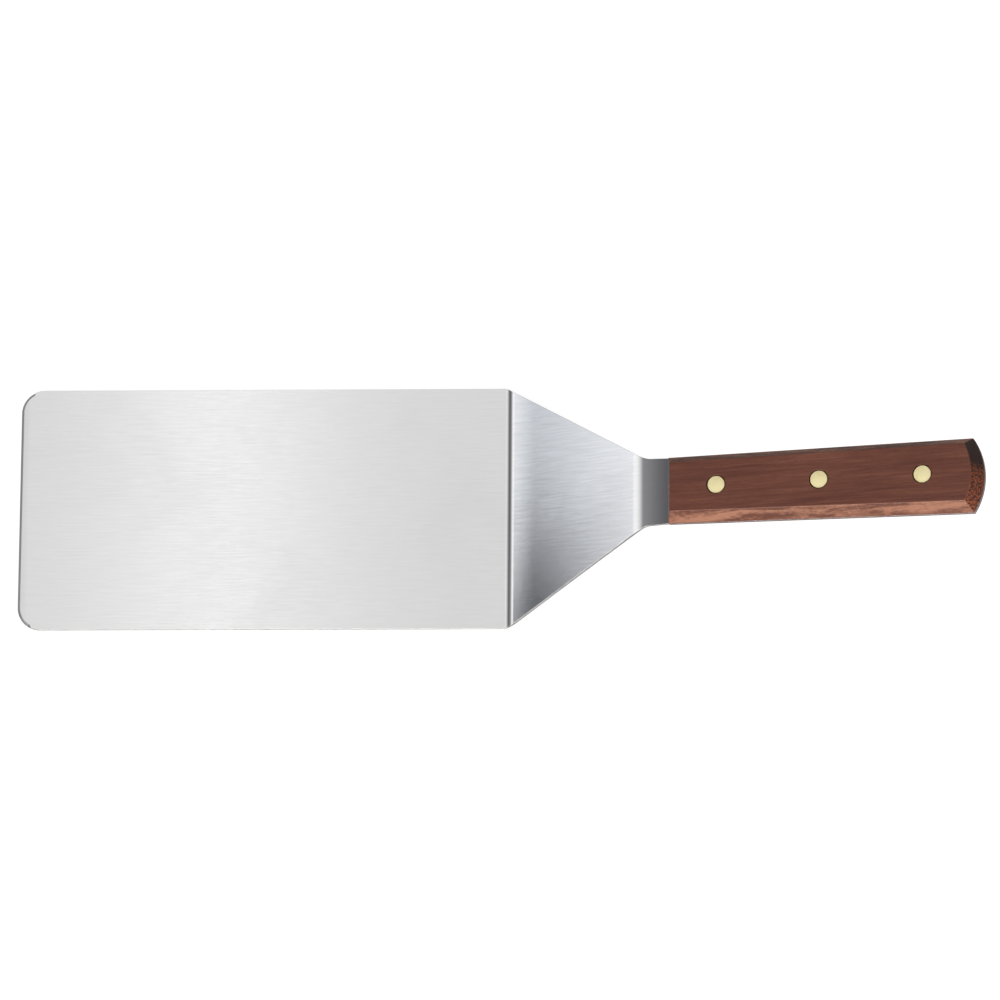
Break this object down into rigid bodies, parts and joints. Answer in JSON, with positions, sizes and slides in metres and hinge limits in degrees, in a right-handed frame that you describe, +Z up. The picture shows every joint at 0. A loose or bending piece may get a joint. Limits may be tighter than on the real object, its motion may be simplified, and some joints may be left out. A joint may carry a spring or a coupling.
{
  "type": "grill spatula",
  "caption": "Solid rectangular stainless turner with a tapered bent neck, full tang, flat wooden scales and brass compression rivets.",
  "frame": {"origin": "centre of the blade's flat underside, on the surface that the blade rests on", "axes": "+X along the tool from the blade's front edge to the butt of the handle, +Z up out of the blade's food face, +Y across the blade"},
  "size_m": [0.3987, 0.1016, 0.0665],
  "materials": {
    "steel": "lengthwise brushed stainless sheet",
    "wood": "oiled reddish brown rosewood, fine lengthwise grain",
    "rivet": "pale brass, ground flush with the wood"
  },
  "bodies": {
    "root": {"blade": "steel", "upper_scale": "wood", "lower_scale": "wood", "rivet_socket_1": "rivet", "rivet_socket_2": "rivet", "rivet_socket_3": "rivet", "rivet_pin_1": "rivet", "rivet_pin_2": "rivet", "rivet_pin_3": "rivet"}
  },
  "joints": []
}
